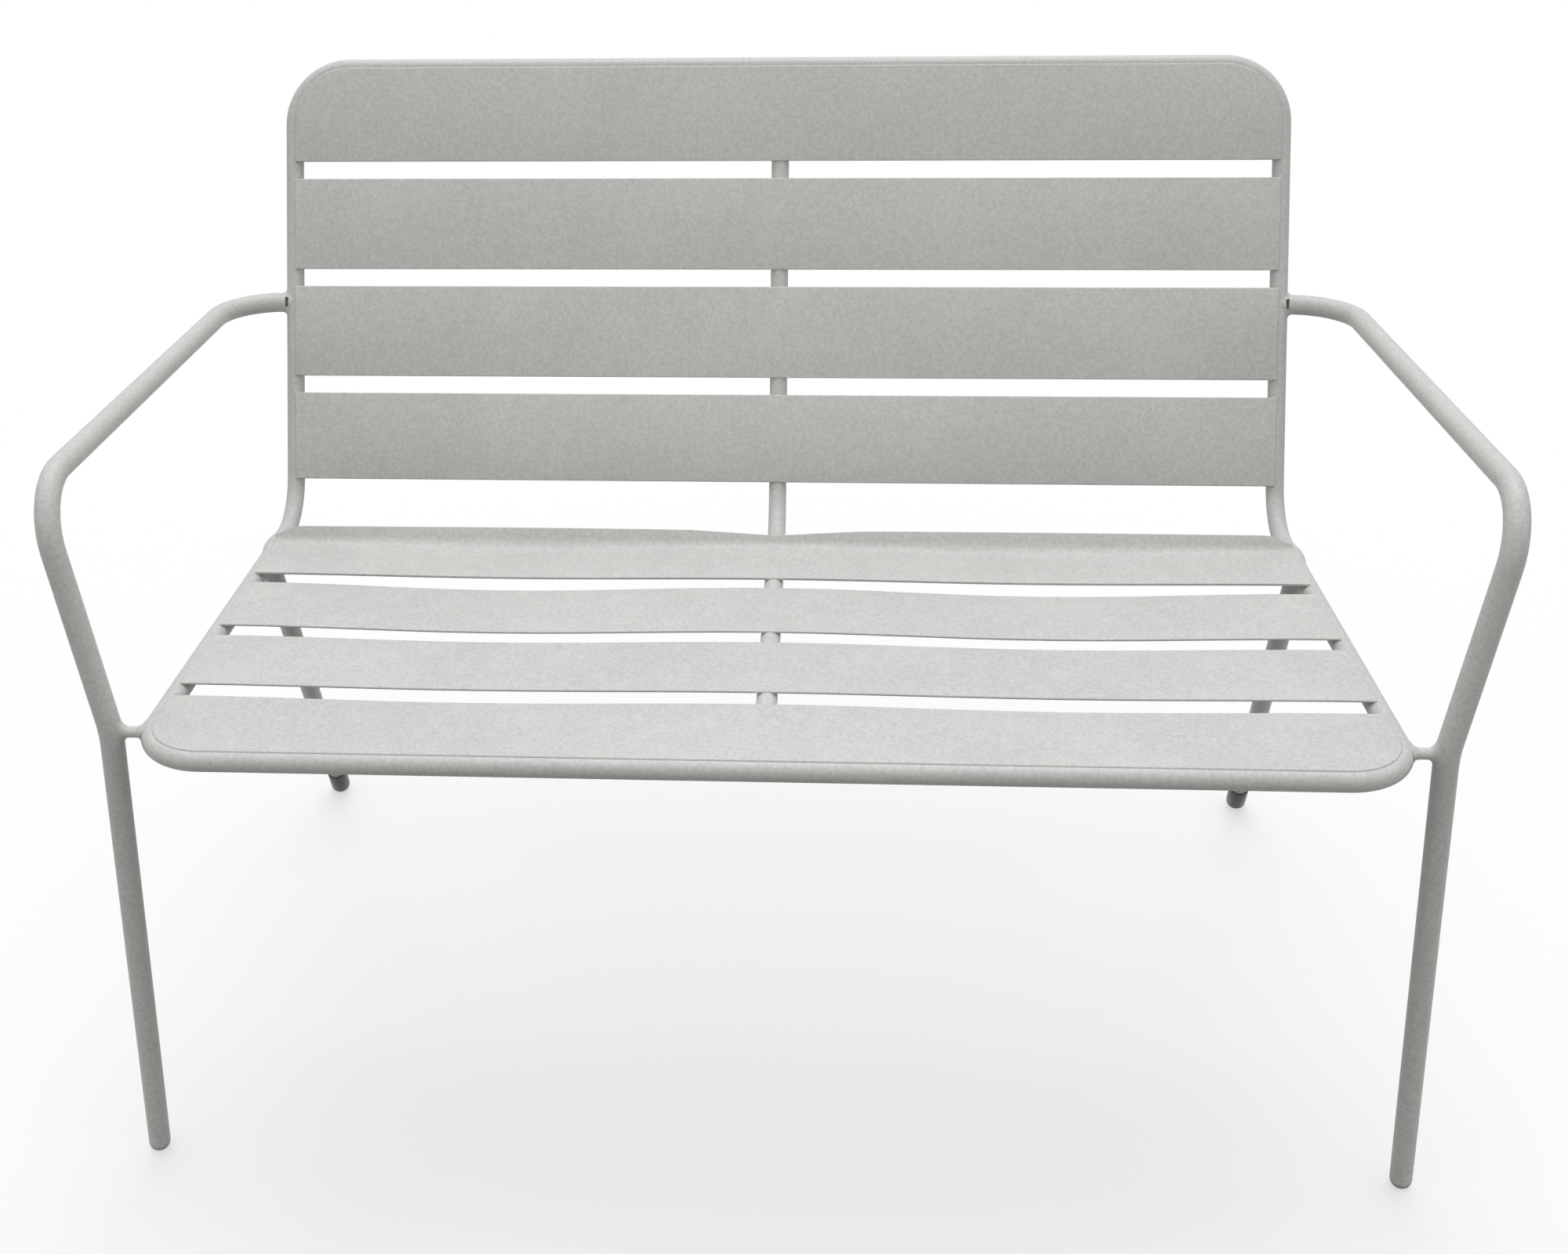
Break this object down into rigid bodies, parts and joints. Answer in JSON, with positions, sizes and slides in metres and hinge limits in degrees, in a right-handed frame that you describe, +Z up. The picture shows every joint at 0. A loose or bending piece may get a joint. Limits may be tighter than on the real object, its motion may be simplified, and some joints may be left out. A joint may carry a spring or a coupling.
{
  "type": "garden bench",
  "caption": "Garden bench with a bent steel tube frame, sheet steel slats on its seat and reclined back, and tube arms that run on down as the front legs.",
  "frame": {"origin": "on the ground, under the middle of the bench's outline", "axes": "+Z up, front of the bench toward -Y, +X to the right when facing along +Y"},
  "size_m": [1.0684, 0.641, 0.8283],
  "materials": {
    "powder_coat": "fine matt powder coat, warm light grey",
    "plain_steel": "bare mill finish, hidden inside the frame tubes",
    "glide_nylon": "moulded nylon, grey",
    "cap_plastic": "moulded plastic, near black, satin"
  },
  "bodies": {
    "root": {"back_hoop_tube": "powder_coat", "seat_hoop_tube": "powder_coat", "middle_tube": "powder_coat", "seat_slat_1": "powder_coat", "seat_slat_2": "powder_coat", "seat_slat_3": "powder_coat", "seat_slat_4": "powder_coat", "back_slat_1": "powder_coat", "back_slat_2": "powder_coat", "back_slat_3": "powder_coat", "back_slat_4": "powder_coat", "arm_tube_left": "powder_coat", "arm_tube_right": "powder_coat", "spacer_rod_left": "powder_coat", "spacer_rod_right": "powder_coat", "rear_leg_left": "powder_coat", "rear_leg_right": "powder_coat", "splice_plug_left": "plain_steel", "splice_plug_right": "plain_steel", "foot_glide_front_left": "glide_nylon", "foot_glide_front_right": "glide_nylon", "foot_cap_rear_left": "cap_plastic", "foot_cap_rear_right": "cap_plastic"}
  },
  "joints": []
}
